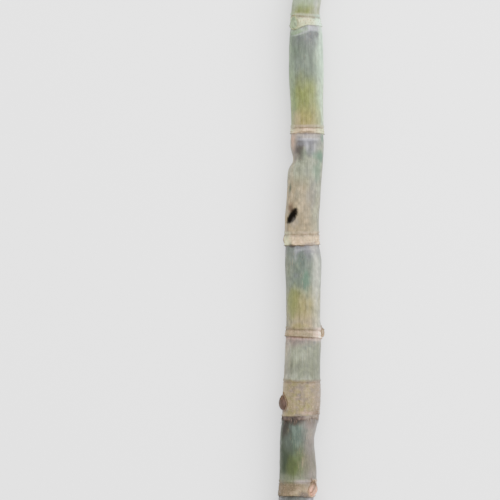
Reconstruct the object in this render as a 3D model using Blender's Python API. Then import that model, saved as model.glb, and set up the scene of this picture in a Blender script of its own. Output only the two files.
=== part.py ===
"""A length of sugarcane stalk, cut at both ends and lying on its side.

The stalk lies along +Y with its growing end towards +Y. Its underside rests on the plane Z = 0.
It grew as one piece, so it is one solid: seven internodes, six nodes and a bud at each node.
Every node has, from the base up, a wax band, a leaf scar, a root band with rows of root buds, and
a growth ring. Angles round the stalk are in degrees from +X, and 90 faces up.
"""

import math
from typing import NamedTuple

import bmesh
import bpy
from mathutils import Vector

MM = 0.001

# Driving dimensions, in millimetres. Heights run along the stalk from its cut base, and MIDDLE is
# the middle of the whole object, across and along.
LENGTH = 576.0
MIDDLE = (-0.45, 288.74)
SIDES = 32


class Node(NamedTuple):
    """One joint of the cane, at the height of its leaf scar.

    Band is the height of its root band. Lean and pitch are the slope of its rings from left to
    right and from bottom to top. Dip is how far the scar hangs down under the bud. Clear is the
    gap below the scar, and less than nothing where the stalk rests on a flat spot there.
    """

    height: float
    band: float
    lean: float
    pitch: float
    bud_angle: float
    bud_width: float
    bud_lift: float
    dip: float
    clear: float


NODES = (
    Node(44.2, 12.5, 0.00, 0.02, 34.0, 11.0, 0.2, 1.5, -0.9),
    Node(126.2, 31.0, -0.02, -0.02, 160.0, 12.5, 2.5, 0.5, 0.7),
    Node(202.7, 6.3, -0.04, 0.02, 2.0, 8.5, 0.2, 1.5, -0.9),
    Node(294.7, 10.0, 0.02, -0.03, 214.0, 9.5, 0.2, 1.5, 0.7),
    Node(405.4, 5.0, 0.00, 0.02, 318.0, 9.0, 0.2, 2.0, 0.9),
    Node(514.0, 7.8, -0.06, -0.02, 138.0, 9.0, 0.2, 6.0, 0.2),
)

# Girth of the stalk without its ridges: height and diameter.
GIRTHS = (
    (0.0, 36.0), (38.0, 35.2), (50.0, 37.0), (62.0, 37.4), (98.0, 36.8), (126.0, 37.2),
    (142.0, 38.2), (158.0, 37.2), (178.0, 36.4), (203.0, 36.6), (216.0, 35.3), (248.0, 35.4),
    (276.0, 36.8), (292.0, 34.8), (318.0, 34.3), (348.0, 33.9), (364.0, 34.3), (398.0, 33.3),
    (416.0, 32.4), (430.0, 32.4), (463.0, 34.6), (490.0, 34.3), (507.0, 32.6), (517.0, 30.6),
    (527.0, 28.8), (540.0, 28.9), (576.0, 30.2),
)

# The stalk's gently zigzag axis: height and place across, to the right.
AXIS = (
    (-12.0, -7.3), (38.0, -6.2), (58.0, -4.2), (100.0, -3.9), (126.0, -1.3), (178.0, 0.3),
    (214.0, 1.4), (250.0, 1.2), (278.0, 1.1), (300.0, -0.3), (318.0, -0.4), (340.0, 1.3),
    (360.0, 2.4), (398.0, 4.9), (416.0, 5.1), (460.0, 4.1), (508.0, 4.0), (524.0, 3.2),
    (540.0, 4.9), (588.0, 11.0),
)


class Dent(NamedTuple):
    """A hollow in the side of an internode, longer along the stalk than round it."""

    height: float
    angle: float
    depth: float
    reach_down: float
    reach_up: float
    spread: float


DENTS = (
    Dent(98.0, 2.0, 2.4, 19.0, 15.0, 62.0),
    Dent(379.0, 178.0, 4.2, 7.0, 9.5, 58.0),
)

# A node's ridges: place above the leaf scar, and how far the skin stands out there.
BELOW_SCAR = ((-8.0, 0.0), (-6.0, -0.3), (-1.8, -0.4), (-0.8, 0.75), (0.3, 0.95), (1.3, 0.3))
RING_ABOVE_BAND = ((-0.9, 0.25), (-0.3, -0.15), (0.9, 0.55), (2.2, 0.45), (3.4, 0.0))

# Rows of root buds: their pitch, the first row above the scar and the last below the growth ring.
ROOT_BUD_ROW_PITCH = 3.0
ROOT_BUD_FIRST_ROW = 2.6
ROOT_BUD_LAST_ROW = 1.6
ROOT_BUD_RISE = 0.45

# The furrow starts above a node, deepens within a part of its run and dies out further up.
FURROW_DEPTH = 0.8
FURROW_SPREAD = 15.0
FURROW_START = 3.0
FURROW_END = 8.0
FURROW_RUN = 0.65
FURROW_ONSET = 0.2

# An internode is slightly oval, and the oval turns along the stalk, in degrees a millimetre.
OVAL_SHARE = 0.012
OVAL_TWIST = 0.9

# A bud: where it is widest along its length, and its sizes as parts of its width.
BUD_SIDES = 12
BUD_RINGS = 9
BUD_WIDEST = 0.4
BUD_END_WIDTH = 0.14
BUD_TAPER = 0.9
BUD_RISE = 0.36
BUD_LENGTH = 1.25
BUD_DOME = (0.06, 0.94)
BUD_FULLNESS = 0.8
BUD_ABOVE_SCAR = 0.5
BUD_PAST_BAND = 4.0
BUD_DIP_SHARE = 0.8
BUD_SUNK = 1.2
WING_WIDTH = 1.3
WING_RISE = 1.0

# The cuts at the two ends slope a little: rise of the cut across the stalk and from bottom to top.
BASE_CUT = (0.05, 0.10)
TOP_CUT = (-0.06, 0.22)

# Near a cut or a node the rings keep one slope for this far, or for this part of the way between.
SLOPE_HOLD = 20.0
SLOPE_HOLD_PART = 0.3

# Spacing of the mesh's rings, and where a hollow gets rings of its own, as parts of its reach.
INTERNODE_RING_PITCH = 16.0
RING_CROWDING = 2.0
DENT_RINGS = (0.0, 0.5, 1.0, 1.7)

# How the scar's dip under a bud fades: round the stalk in degrees, and below the scar.
DIP_SPREAD = 34.0
DIP_REACH = 4.0
DIP_REACH_SHARE = 2.0

SHARP_EDGE = 35.0
CANE_GREEN = (0.33, 0.40, 0.22, 1.0)


def smooth_curve(points):
    """A function that passes smoothly through the points and never overshoots them."""
    xs = [x for x, _ in points]
    ys = [y for _, y in points]
    steps = [xs[i + 1] - xs[i] for i in range(len(xs) - 1)]
    rises = [(ys[i + 1] - ys[i]) / steps[i] for i in range(len(steps))]
    slopes = [rises[0]]
    for before, after in zip(rises, rises[1:]):
        slopes.append(0.0 if before * after <= 0 else 2 * before * after / (before + after))
    slopes.append(rises[-1])

    def at(x):
        i = max(k for k in range(len(steps)) if k == 0 or x >= xs[k])
        t = (x - xs[i]) / steps[i]
        if not 0 <= t <= 1:
            end = i if t < 0 else i + 1
            return ys[end] + slopes[end] * (x - xs[end])
        start_value = (1 + 2 * t) * (1 - t) ** 2 * ys[i]
        end_value = t * t * (3 - 2 * t) * ys[i + 1]
        start_slope = t * (1 - t) ** 2 * steps[i] * slopes[i]
        end_slope = t * t * (t - 1) * steps[i] * slopes[i + 1]
        return start_value + end_value + start_slope + end_slope

    return at


def ease(t):
    """0 to 1, starting and ending level."""
    t = min(1.0, max(0.0, t))
    return t * t * (3 - 2 * t)


def angle_between(a, b):
    """The smaller angle between two directions, in degrees."""
    return abs((a - b + 180.0) % 360.0 - 180.0)


girth_at = smooth_curve(GIRTHS)
across_at = smooth_curve(AXIS)


def resting_height(node):
    """How high the axis is at a node."""
    ridge = max(rise for _, rise in BELOW_SCAR)
    return girth_at(node.height) / 2 + ridge + node.clear


def axis_heights():
    """The axis's height above the floor at each node, carried on in line to both ends."""
    points = [(node.height, resting_height(node)) for node in NODES]
    (first, low), (last, high) = points[0], points[-1]
    slope = (high - low) / (last - first)
    start, end = AXIS[0][0], AXIS[-1][0]
    return [(start, low + slope * (start - first)), *points, (end, high + slope * (end - last))]


height_at = smooth_curve(axis_heights())


def slope_at(s):
    """How the ring at height s slopes, from left to right and from bottom to top."""
    marks = [(0.0, BASE_CUT)]
    marks += [(node.height + node.band / 2, (node.lean, node.pitch)) for node in NODES]
    marks += [(LENGTH, TOP_CUT)]
    i = max(k for k in range(len(marks) - 1) if k == 0 or s >= marks[k][0])
    (low, low_slope), (high, high_slope) = marks[i], marks[i + 1]
    hold = min(SLOPE_HOLD, SLOPE_HOLD_PART * (high - low))
    start = low if i == 0 else low + hold
    end = high if i == len(marks) - 2 else high - hold
    share = ease((s - start) / (end - start))
    return tuple(a + (b - a) * share for a, b in zip(low_slope, high_slope))


def ridge_points(node):
    """The node's ridges as height along the stalk and rise of the skin."""
    top = node.height + node.band
    lower = [(node.height + t, rise) for t, rise in BELOW_SCAR]
    upper = [(top + t, rise) for t, rise in RING_ABOVE_BAND]
    return lower + upper


def root_bud_rows(node):
    """Heights of the rows of root buds in a node's root band."""
    space = node.band - ROOT_BUD_FIRST_ROW - ROOT_BUD_LAST_ROW
    count = max(2, round(space / ROOT_BUD_ROW_PITCH) + 1)
    pitch = space / (count - 1)
    return [node.height + ROOT_BUD_FIRST_ROW + k * pitch for k in range(count)]


def ridge_rise(s):
    """How far the rings and scars of the nodes lift the skin at height s."""
    for node in NODES:
        points = ridge_points(node)
        if points[0][0] < s < points[-1][0]:
            for (a, low), (b, high) in zip(points, points[1:]):
                if a <= s <= b:
                    return low + (high - low) * (s - a) / (b - a)
    return 0.0


def furrow(s, angle):
    """The shallow groove that runs up an internode above its bud."""
    for node, upper in zip(NODES, (*NODES[1:], None)):
        start = node.height + node.band + FURROW_START
        end = (upper.height if upper else LENGTH) - FURROW_END
        if start < s < end:
            along = (s - start) / ((end - start) * FURROW_RUN)
            fade = ease(along / FURROW_ONSET) * (1 - ease(along))
            off = angle_between(angle, node.bud_angle) / FURROW_SPREAD
            return FURROW_DEPTH * fade * math.exp(-off * off)
    return 0.0


def dents(s, angle):
    """Depth of the hollows in the sides of two internodes."""
    depth = 0.0
    for dent in DENTS:
        along = (s - dent.height) / (dent.reach_up if s > dent.height else dent.reach_down)
        off = angle_between(angle, dent.angle) / dent.spread
        depth += dent.depth * math.exp(-along * along - off * off)
    return depth


def radius_at(s, angle):
    """The skin's distance from the axis, without the root buds."""
    turn = math.radians(2 * angle + s * OVAL_TWIST)
    round_part = girth_at(s) / 2 * (1 + OVAL_SHARE * math.cos(turn))
    return round_part + ridge_rise(s) - furrow(s, angle) - dents(s, angle)


def dip_at(s, angle):
    """How far the rings near a leaf scar sag towards the base under the bud."""
    for node in NODES:
        reach = DIP_REACH + DIP_REACH_SHARE * node.dip
        below = (s - node.height + reach) / reach
        above = (node.height + node.band - s) / node.band
        if below > 0 and above > 0:
            off = angle_between(angle, node.bud_angle) / DIP_SPREAD
            return node.dip * ease(below) * ease(above) * math.exp(-off * off)
    return 0.0


def skin_point(s, angle, lift=0.0):
    """A point of the stalk's surface in metres."""
    out = radius_at(s, angle) + lift
    right = out * math.cos(math.radians(angle))
    up = out * math.sin(math.radians(angle))
    lean, pitch = slope_at(s)
    across = across_at(s) + right - MIDDLE[0]
    along = s - dip_at(s, angle) + lean * right + pitch * up - MIDDLE[1]
    return Vector((across, along, height_at(s) + up)) * MM


def ring_heights():
    """(height, root bud row or None) of each ring of the stalk's mesh, from the base up."""
    rings = []
    low = 0.0
    for node in NODES:
        ridges = [s for s, _ in ridge_points(node)]
        rings += [(s, None) for s in spaced(low, ridges[0])]
        rings += [(s, None) for s in ridges]
        rings += [(s, row) for row, s in enumerate(root_bud_rows(node))]
        low = ridges[-1]
    rings += [(s, None) for s in spaced(low, LENGTH)]
    rings += [(0.0, None), (LENGTH, None)]
    rings += [(s, None) for s in dent_ring_heights(rings)]
    return sorted(rings, key=lambda ring: ring[0])


def dent_ring_heights(rings):
    """More rings for the hollows, leaving out any that would crowd a ring that is already there."""
    wanted = []
    for dent in DENTS:
        wanted += [dent.height - dent.reach_down * share for share in DENT_RINGS]
        wanted += [dent.height + dent.reach_up * share for share in DENT_RINGS[1:]]
    return [s for s in wanted if min(abs(s - other) for other, _ in rings) > RING_CROWDING]


def spaced(low, high):
    """Evenly spaced heights between two rings, leaving both out."""
    count = max(1, round((high - low) / INTERNODE_RING_PITCH))
    return [low + (high - low) * k / count for k in range(1, count)]


def stalk_ring(s, row):
    """One ring of surface points. A row of root buds lifts every other point of its ring."""
    points = []
    for k in range(SIDES):
        lift = ROOT_BUD_RISE if row is not None and (k + row) % 2 == 0 else 0.0
        points.append(skin_point(s, 360.0 * k / SIDES, lift))
    return points


def loft(rings, name):
    """A closed mesh object through the rings, with a flat cap at each end."""
    mesh = bmesh.new()
    loops = [[mesh.verts.new(point) for point in ring] for ring in rings]
    for lower, upper in zip(loops, loops[1:]):
        for k in range(len(lower)):
            after = (k + 1) % len(lower)
            mesh.faces.new((lower[k], upper[k], upper[after], lower[after]))
    mesh.faces.new(loops[0])
    mesh.faces.new(reversed(loops[-1]))
    bmesh.ops.recalc_face_normals(mesh, faces=mesh.faces)
    data = bpy.data.meshes.new(name)
    mesh.to_mesh(data)
    mesh.free()
    made = bpy.data.objects.new(name, data)
    bpy.context.scene.collection.objects.link(made)
    return made


def bud_outline(share):
    """Half width of a bud from its base, at share 0, to its tip, as a part of its widest place."""
    if share < BUD_WIDEST:
        width = math.sqrt(1 - (1 - share / BUD_WIDEST) ** 2)
    else:
        width = math.cos((share - BUD_WIDEST) / (1 - BUD_WIDEST) * math.pi / 2)
        width = width ** BUD_TAPER
    return max(width, BUD_END_WIDTH)


def bud_body(node, width_share, rise, name):
    """A flattened, pointed oval on the root band, half sunk in the stalk, its tip towards +Y."""
    width = node.bud_width * width_share
    longest = node.band + BUD_PAST_BAND
    length = min(node.bud_width * BUD_LENGTH, longest) - node.dip * BUD_DIP_SHARE
    length *= math.sqrt(width_share)
    start = node.height + BUD_ABOVE_SCAR + node.bud_lift
    out_at_middle = radius_at(start + length / 2, node.bud_angle)
    rings = []
    for k in range(BUD_RINGS):
        share = (1 - math.cos(math.pi * k / (BUD_RINGS - 1))) / 2
        s = start + length * share
        half = width / 2 * bud_outline(share)
        dome = BUD_DOME[0] + (BUD_DOME[1] - BUD_DOME[0]) * share
        swell = rise * math.sin(math.pi * dome) ** BUD_FULLNESS
        ring = []
        for j in range(BUD_SIDES):
            turn = 2 * math.pi * j / BUD_SIDES
            angle = node.bud_angle + math.degrees(half * math.cos(turn) / out_at_middle)
            depth = swell if math.sin(turn) > 0 else BUD_SUNK
            ring.append(skin_point(s, angle, math.sin(turn) * depth))
        rings.append(ring)
    return loft(rings, name)


def make_buds():
    """Every bud with its wings, in a collection for the union with the stalk."""
    buds = bpy.data.collections.new("buds")
    bpy.context.scene.collection.children.link(buds)
    for number, node in enumerate(NODES, start=1):
        body = bud_body(node, 1.0, node.bud_width * BUD_RISE, f"bud_body_{number}")
        wing = bud_body(node, WING_WIDTH, WING_RISE, f"bud_wing_{number}")
        for piece in (body, wing):
            bpy.context.scene.collection.objects.unlink(piece)
            buds.objects.link(piece)
    return buds


def join_buds(stalk, buds):
    """Fuses the buds with the stalk by one Boolean union and removes them."""
    union = stalk.modifiers.new("buds", "BOOLEAN")
    union.operation = "UNION"
    union.operand_type = "COLLECTION"
    union.collection = buds
    union.solver = "EXACT"
    bpy.context.view_layer.update()
    graph = bpy.context.evaluated_depsgraph_get()
    joined = bpy.data.meshes.new_from_object(stalk.evaluated_get(graph), depsgraph=graph)
    stalk.modifiers.clear()
    stalk.data = joined
    for piece in list(buds.objects):
        bpy.data.objects.remove(piece)
    bpy.data.collections.remove(buds)


def flatten_where_it_rests(stalk):
    """Cuts a small flat spot, on the plane Z = 0, under each node that the stalk lies on."""
    mesh = bmesh.new()
    mesh.from_mesh(stalk.data)
    everything = [*mesh.verts, *mesh.edges, *mesh.faces]
    cut = bmesh.ops.bisect_plane(
        mesh, geom=everything, plane_co=(0, 0, 0), plane_no=(0, 0, -1), clear_outer=True
    )
    rims = [piece for piece in cut["geom_cut"] if isinstance(piece, bmesh.types.BMEdge)]
    bmesh.ops.holes_fill(mesh, edges=rims, sides=0)
    bmesh.ops.recalc_face_normals(mesh, faces=mesh.faces)
    mesh.to_mesh(stalk.data)
    mesh.free()


def cane_material():
    """The waxy green skin."""
    material = bpy.data.materials.new("cane")
    material.use_nodes = True
    shader = material.node_tree.nodes["Principled BSDF"]
    shader.inputs["Base Color"].default_value = CANE_GREEN
    shader.inputs["Roughness"].default_value = 0.55
    shader.inputs["Metallic"].default_value = 0.0
    return material


def make_stalk():
    """The whole stalk as one object."""
    stalk = loft([stalk_ring(s, row) for s, row in ring_heights()], "stalk")
    join_buds(stalk, make_buds())
    flatten_where_it_rests(stalk)
    stalk.data.materials.clear()
    stalk.data.materials.append(cane_material())
    stalk.data.shade_smooth()
    stalk.data.set_sharp_from_angle(angle=math.radians(SHARP_EDGE))
    return stalk


def main():
    for old in list(bpy.data.objects):
        bpy.data.objects.remove(old)
    make_stalk()


main()
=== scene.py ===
"""The looks of a cut length of sugarcane that lies on its side, seen from straight above.

Shapes are worked out in millimetres and turned into metres when a mesh is made. Heights run along
the stalk from its cut base, and angles go round it in degrees from +X, with 90 facing up.
"""

import math
from typing import NamedTuple

import bpy
import numpy as np
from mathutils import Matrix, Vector


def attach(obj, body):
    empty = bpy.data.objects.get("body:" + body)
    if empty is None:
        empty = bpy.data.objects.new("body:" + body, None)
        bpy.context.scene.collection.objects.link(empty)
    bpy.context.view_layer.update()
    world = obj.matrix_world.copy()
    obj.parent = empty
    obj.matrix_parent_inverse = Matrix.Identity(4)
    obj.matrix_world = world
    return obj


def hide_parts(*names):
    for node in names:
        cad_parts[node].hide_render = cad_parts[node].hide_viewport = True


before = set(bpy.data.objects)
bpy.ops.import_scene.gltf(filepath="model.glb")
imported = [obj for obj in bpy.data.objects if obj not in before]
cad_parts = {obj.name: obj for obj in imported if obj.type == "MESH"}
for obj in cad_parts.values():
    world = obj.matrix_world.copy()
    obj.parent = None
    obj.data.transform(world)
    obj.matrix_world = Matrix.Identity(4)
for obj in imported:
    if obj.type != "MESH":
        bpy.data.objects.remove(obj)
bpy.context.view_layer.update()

MM = 0.001
rng = np.random.default_rng(11)

# The stalk's own sizes, as in its solid.
LENGTH = 576.0
MIDDLE = (-0.45, 288.74)


class Node(NamedTuple):
    """One joint of the cane, at the height of its leaf scar."""

    height: float
    band: float
    lean: float
    pitch: float
    bud_angle: float
    bud_width: float
    bud_lift: float
    dip: float
    clear: float


NODES = (
    Node(44.2, 12.5, 0.00, 0.02, 34.0, 11.0, 0.2, 1.5, -0.9),
    Node(126.2, 31.0, -0.02, -0.02, 160.0, 12.5, 2.5, 0.5, 0.7),
    Node(202.7, 6.3, -0.04, 0.02, 2.0, 8.5, 0.2, 1.5, -0.9),
    Node(294.7, 10.0, 0.02, -0.03, 214.0, 9.5, 0.2, 1.5, 0.7),
    Node(405.4, 5.0, 0.00, 0.02, 318.0, 9.0, 0.2, 2.0, 0.9),
    Node(514.0, 7.8, -0.06, -0.02, 138.0, 9.0, 0.2, 6.0, 0.2),
)

GIRTHS = (
    (0, 36), (38, 35.2), (50, 37), (62, 37.4), (98, 36.8), (126, 37.2),
    (142, 38.2), (158, 37.2), (178, 36.4), (203, 36.6), (216, 35.3), (248, 35.4),
    (276, 36.8), (292, 34.8), (318, 34.3), (348, 33.9), (364, 34.3), (398, 33.3),
    (416, 32.4), (430, 32.4), (463, 34.6), (490, 34.3), (507, 32.6), (517, 30.6),
    (527, 28.8), (540, 28.9), (576, 30.2),
)

AXIS = (
    (-12, -7.3), (38, -6.2), (58, -4.2), (100, -3.9), (126, -1.3), (178, 0.3),
    (214, 1.4), (250, 1.2), (278, 1.1), (300, -0.3), (318, -0.4), (340, 1.3),
    (360, 2.4), (398, 4.9), (416, 5.1), (460, 4.1), (508, 4), (524, 3.2),
    (540, 4.9), (588, 11),
)


class Dent(NamedTuple):
    """A hollow in the side of an internode."""

    height: float
    angle: float
    depth: float
    reach_down: float
    reach_up: float
    spread: float


DENTS = (
    Dent(98, 2, 2.4, 19, 15, 62),
    Dent(379, 178, 4.2, 7, 9.5, 58),
)

SCAR_RISE = 0.95
FURROW_DEPTH = 0.8
FURROW_SPREAD = 15.0
FURROW_START = 3.0
FURROW_END = 8.0
FURROW_RUN = 0.65
FURROW_ONSET = 0.2
OVAL_SHARE = 0.012
OVAL_TWIST = 0.9
BASE_CUT = (0.05, 0.10)
TOP_CUT = (-0.06, 0.22)
SLOPE_HOLD = 20.0
SLOPE_HOLD_PART = 0.3
DIP_SPREAD = 34.0
DIP_REACH = 4.0
DIP_REACH_SHARE = 2.0

# A node's fine ridges: place from the leaf scar or from the top of the root band, and rise.
SCAR_PROFILE = (
    (-8.0, 0.0), (-6.0, -0.25), (-3.6, -0.42), (-2.0, -0.45), (-1.5, -0.35), (-1.1, 0.15),
    (-0.8, 0.58), (-0.4, 0.78), (0.1, 0.74), (0.5, 0.56), (1.0, 0.34), (1.8, 0.24),
)
RING_PROFILE = (
    (-1.4, 0.26), (-0.8, 0.12), (-0.4, -0.16), (0.0, -0.12), (0.5, 0.34), (1.1, 0.58),
    (1.8, 0.58), (2.5, 0.34), (3.2, 0.08), (4.2, 0.0),
)

# One node has a tall root band, a slanting scar and a torn sheath. Its scar hangs lowest at an
# angle, and twice SLANT below its highest place. The top node has a green bud.
TALL_NODE = 1
TOP_NODE = 5
SLANT = 1.3
SLANT_ANGLE = 165.0

# The fine mesh: sides round the stalk and spacing of its rings. A node's close rings start below
# its scar and end above its root band, and middling ones reach further, also round the gouge.
SIDES = 140
NODE_PITCH = 0.46
EDGE_PITCH = 0.85
INTERNODE_PITCH = 1.38
CLOSE_BELOW = 3.0
CLOSE_ABOVE = 4.2
EDGE_REACH = 7.0

# Rings of a cut face, as parts of the way from its middle to its rim.
CAP_SHARES = (0.985, 0.955, 0.92, 0.87, 0.8, 0.7, 0.6, 0.5, 0.4, 0.3, 0.2, 0.1)

# Where the skin between the lowest two nodes is rough.
ROUGH_ZONE = (62.0, 124.0)

# How bright each level of light from a surface is shown, and the light from a white floor.
SHOWN = (
    (0, 0.004), (32, 0.02), (57, 0.049), (81, 0.09), (112, 0.163), (145, 0.298), (173, 0.543),
    (196, 0.989), (214, 1.803), (229, 3.286), (240, 6.0),
)
LIGHT_LEVEL = 3.2
PALEST_PAINT = 0.85

# Colours as they look in the picture, red, green and blue from 0 to 255.
LAVENDER = (184, 178, 188)
WAX = (196, 197, 200)
ASH = (140, 138, 144)
DUSK = (124, 128, 128)
SHADE = (98, 101, 94)
SLATE = (126, 138, 122)
GREY_GREEN = (138, 142, 118)
SAGE = (108, 142, 120)
PALE_GREEN = (162, 166, 146)
SPRING = (166, 178, 148)
OLIVE = (142, 150, 82)
MUSTARD = (162, 154, 86)
STRAW = (162, 155, 104)
TAN = (172, 160, 128)
SAND = (190, 176, 146)
CREAM = (206, 194, 164)
IVORY = (205, 208, 180)
BUFF = (208, 180, 154)
PINK = (194, 172, 162)
DUST = (178, 170, 160)
MAUVE = (150, 137, 130)
PEARL = (214, 210, 200)
SHELL = (190, 183, 173)
FROST = (200, 199, 205)
# PALE_EDGE, PEACH, BLUSH, MINT and PALE_MINT are painted light, used on the stalk's right side.
PALE_EDGE = (184, 186, 176)
DUN = (170, 156, 138)
PEACH = (220, 202, 182)
BLUSH = (234, 220, 210)
MINT = (206, 224, 211)
PALE_MINT = (190, 205, 186)
LEAF_GREEN = (152, 174, 138)
LIME = (186, 202, 168)
DEEP_GREEN = (64, 76, 54)
MOSS = (92, 106, 58)
TEAL = (108, 124, 112)
BARK = (130, 112, 84)
UMBER = (108, 80, 56)
PLUM = (112, 96, 92)
SOOT = (66, 56, 48)
BLACK = (22, 17, 10)
RUST = (120, 78, 60)
RUSSET = (112, 84, 72)
FLESH = (214, 208, 172)
FLESH_DARK = (202, 184, 138)
FLESH_EDGE = (200, 202, 158)
RIND_EDGE = (124, 122, 82)
VEIN = (170, 142, 96)


class Internode(NamedTuple):
    """Colours up an internode and at its two sides, which are painted light and shade, and how
    strong its mottling is.
    """

    foot: tuple
    low: tuple
    high: tuple
    top: tuple
    left: tuple
    right: tuple
    wax: float
    mottle: float


# The side colours are painted light and shade across the stalk, mostly paler on the right.
INTERNODES = (
    Internode(ASH, ASH, ASH, SHADE, ASH, LAVENDER, 0.25, 0.6),
    Internode(GREY_GREEN, MOSS, TEAL, TEAL, DEEP_GREEN, MAUVE, 0.10, 1.0),
    # Painted shadow: this internode's right side is darker than its middle.
    Internode(PALE_GREEN, GREY_GREEN, PALE_GREEN, MAUVE, DUN, GREY_GREEN, 0.20, 0.8),
    Internode(TAN, STRAW, SLATE, DUSK, GREY_GREEN, PALE_EDGE, 0.15, 1.0),
    Internode(TAN, TAN, PALE_GREEN, ASH, TAN, PALE_GREEN, 0.15, 1.0),
    Internode(MUSTARD, OLIVE, SLATE, DUSK, LEAF_GREEN, PALE_MINT, 0.15, 0.7),
    Internode(OLIVE, SPRING, SPRING, PALE_GREEN, SPRING, PALE_EDGE, 0.30, 0.4),
)


class Joint(NamedTuple):
    """Colours of a node: its root band, the band's two sides in painted light and shade, and the
    zone below its scar.

    Reach is how far that zone goes down, and line how dark the painted shade under the scar's lip
    is, and how sharp the scar's edge is.
    """

    band: tuple
    left: tuple
    right: tuple
    below: tuple
    reach: float
    line: float


# The band's side colours are painted light and shade, mostly paler on the right.
JOINTS = (
    Joint(TAN, BARK, PEACH, SHADE, 2.6, 0.5),
    Joint(TAN, TAN, DUN, PLUM, 6.0, 1.0),
    Joint(TAN, TAN, BLUSH, PINK, 4.5, 0.7),
    Joint(CREAM, IVORY, CREAM, ASH, 10.0, 0.8),
    Joint(CREAM, IVORY, IVORY, SHELL, 7.0, 0.25),
    Joint(IVORY, LIME, MINT, FROST, 7.5, 0.3),
)


class Mark(NamedTuple):
    """A spot or smudge: its middle, half its length and width, its colour, strength and tilt."""

    height: float
    angle: float
    long: float
    wide: float
    colour: tuple
    strength: float
    tilt: float = 0.0


MARKS = tuple(Mark(*row) for row in (
    (94, 132, 24, 8, DEEP_GREEN, 0.55),
    (80, 139, 13, 4.8, DEEP_GREEN, 0.9, 3),
    (70, 113, 11, 5, MOSS, 0.85),
    (88, 55, 30, 8, MAUVE, 0.6),
    (109, 44, 9, 8, DUST, 0.6),
    (100, 128, 12, 5, DUSK, 0.3),
    (61, 138, 4, 11, GREY_GREEN, 0.7),
    (53, 98, 3.4, 7, BARK, 0.45, 4),
    (47.5, 108, 1.3, 8, CREAM, 0.5, -6),
    (45.4, 64, 2.6, 7, PLUM, 0.6),
    (38, 70, 5, 8, DUSK, 0.5),
    (112, 142, 9, 6, SOOT, 0.7),
    (119, 118, 4, 12, SOOT, 0.7),
    (116, 58, 5, 9, MAUVE, 0.8),
    (51, 30, 6, 5, BUFF, 0.7),
    (57.5, 44, 3.4, 1.3, UMBER, 0.8),
    (58, 76, 2, 8, LAVENDER, 0.5),
    (49, 118, 5, 7, BARK, 0.6),
    (130.5, 163, 4, 5, BARK, 0.7, 10),
    (126, 31, 1.9, 1.9, UMBER, 0.9),
    (127.2, 62, 1.6, 10, PINK, 0.6),
    (126.5, 36, 3, 5, BARK, 0.5),
    # Painted light: a pale spot on the right side just below the third scar.
    (200, 34, 3, 7, BLUSH, 0.4),
    (201.6, 84, 1.1, 6, BARK, 0.7),
    (212.5, 104, 3, 8, MUSTARD, 0.5),
    (264, 50, 34, 4.6, PEARL, 0.42),
    (278, 96, 9, 4.5, TEAL, 0.75),
    (291, 52, 2.6, 6, PEARL, 0.3),
    (289.5, 98, 1.2, 6, WAX, 0.4, 8),
    (285, 116, 6, 2, WAX, 0.45),
    (289, 140, 6, 6, SLATE, 0.6),
    (259.7, 84, 9, 3.2, SAGE, 0.8, -6),
    (263.7, 114, 2.6, 2.8, DUSK, 0.6),
    (236, 128, 14, 7, OLIVE, 0.6),
    (301, 64, 2.2, 5, CREAM, 0.8),
    (295, 66, 1.5, 7, MAUVE, 0.6, 5),
    (293.4, 130, 1.6, 3.6, SOOT, 0.6),
    (323, 128.5, 8.1, 4.6, BLACK, 1, -44),
    (331.5, 139, 4.5, 3.6, UMBER, 0.65),
    (317, 116, 5, 4, DUST, 0.5, -40),
    (350, 147, 4.4, 1.8, DEEP_GREEN, 0.6),
    (389, 118, 8, 4.6, SOOT, 0.62, 6),
    (385, 140, 8, 5, PLUM, 0.4),
    (394.5, 100, 2.2, 12, ASH, 0.7, 6),
    (384.5, 100, 4, 4, SLATE, 0.4),
    (398.6, 88, 1.3, 12, FROST, 0.6),
    (391, 90, 5, 1.8, FROST, 0.5, 12),
    (389, 66, 5, 2.2, FROST, 0.45, -14),
    (392, 74, 5, 2.4, ASH, 0.6),
    (405.9, 92, 0.8, 7, BARK, 0.6),
    (367, 46, 9, 5, SAGE, 0.4),
    (346, 62, 14, 5, ASH, 0.35),
    (418, 135, 8, 6, SAND, 0.5),
    (386, 78, 4, 3, DUSK, 0.5),
    (382, 36, 5, 8, SAGE, 0.85, -20),
    (400, 22, 4, 4, SAGE, 0.7),
    (396, 150, 8, 5, BUFF, 0.6),
    (407.2, 14, 3, 3.4, IVORY, 0.9),
    (499, 140, 8, 5, SLATE, 0.6, 30),
    # Painted light: a pale streak along the right edge below the top node.
    (486, 14, 26, 9, MINT, 0.6),
    (508.5, 124, 5, 9, LEAF_GREEN, 0.75),
    (505.5, 110, 1.4, 10, FROST, 0.5, 14),
    (511, 56, 3, 6, WAX, 0.4),
    (504.7, 48, 2.6, 2.2, DUSK, 0.8),
))
GOUGE = next(mark for mark in MARKS if mark.colour is BLACK)

# The pit at the gouge, and the swollen rim round it.
GOUGE_DEPTH = 1.1
GOUGE_RIM = 0.35

# Width of a mark's edge as a part of its size. Only a mark of full strength has a sharp one.
SHARP_MARK = 0.62
SOFT_MARK = 1.3


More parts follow.
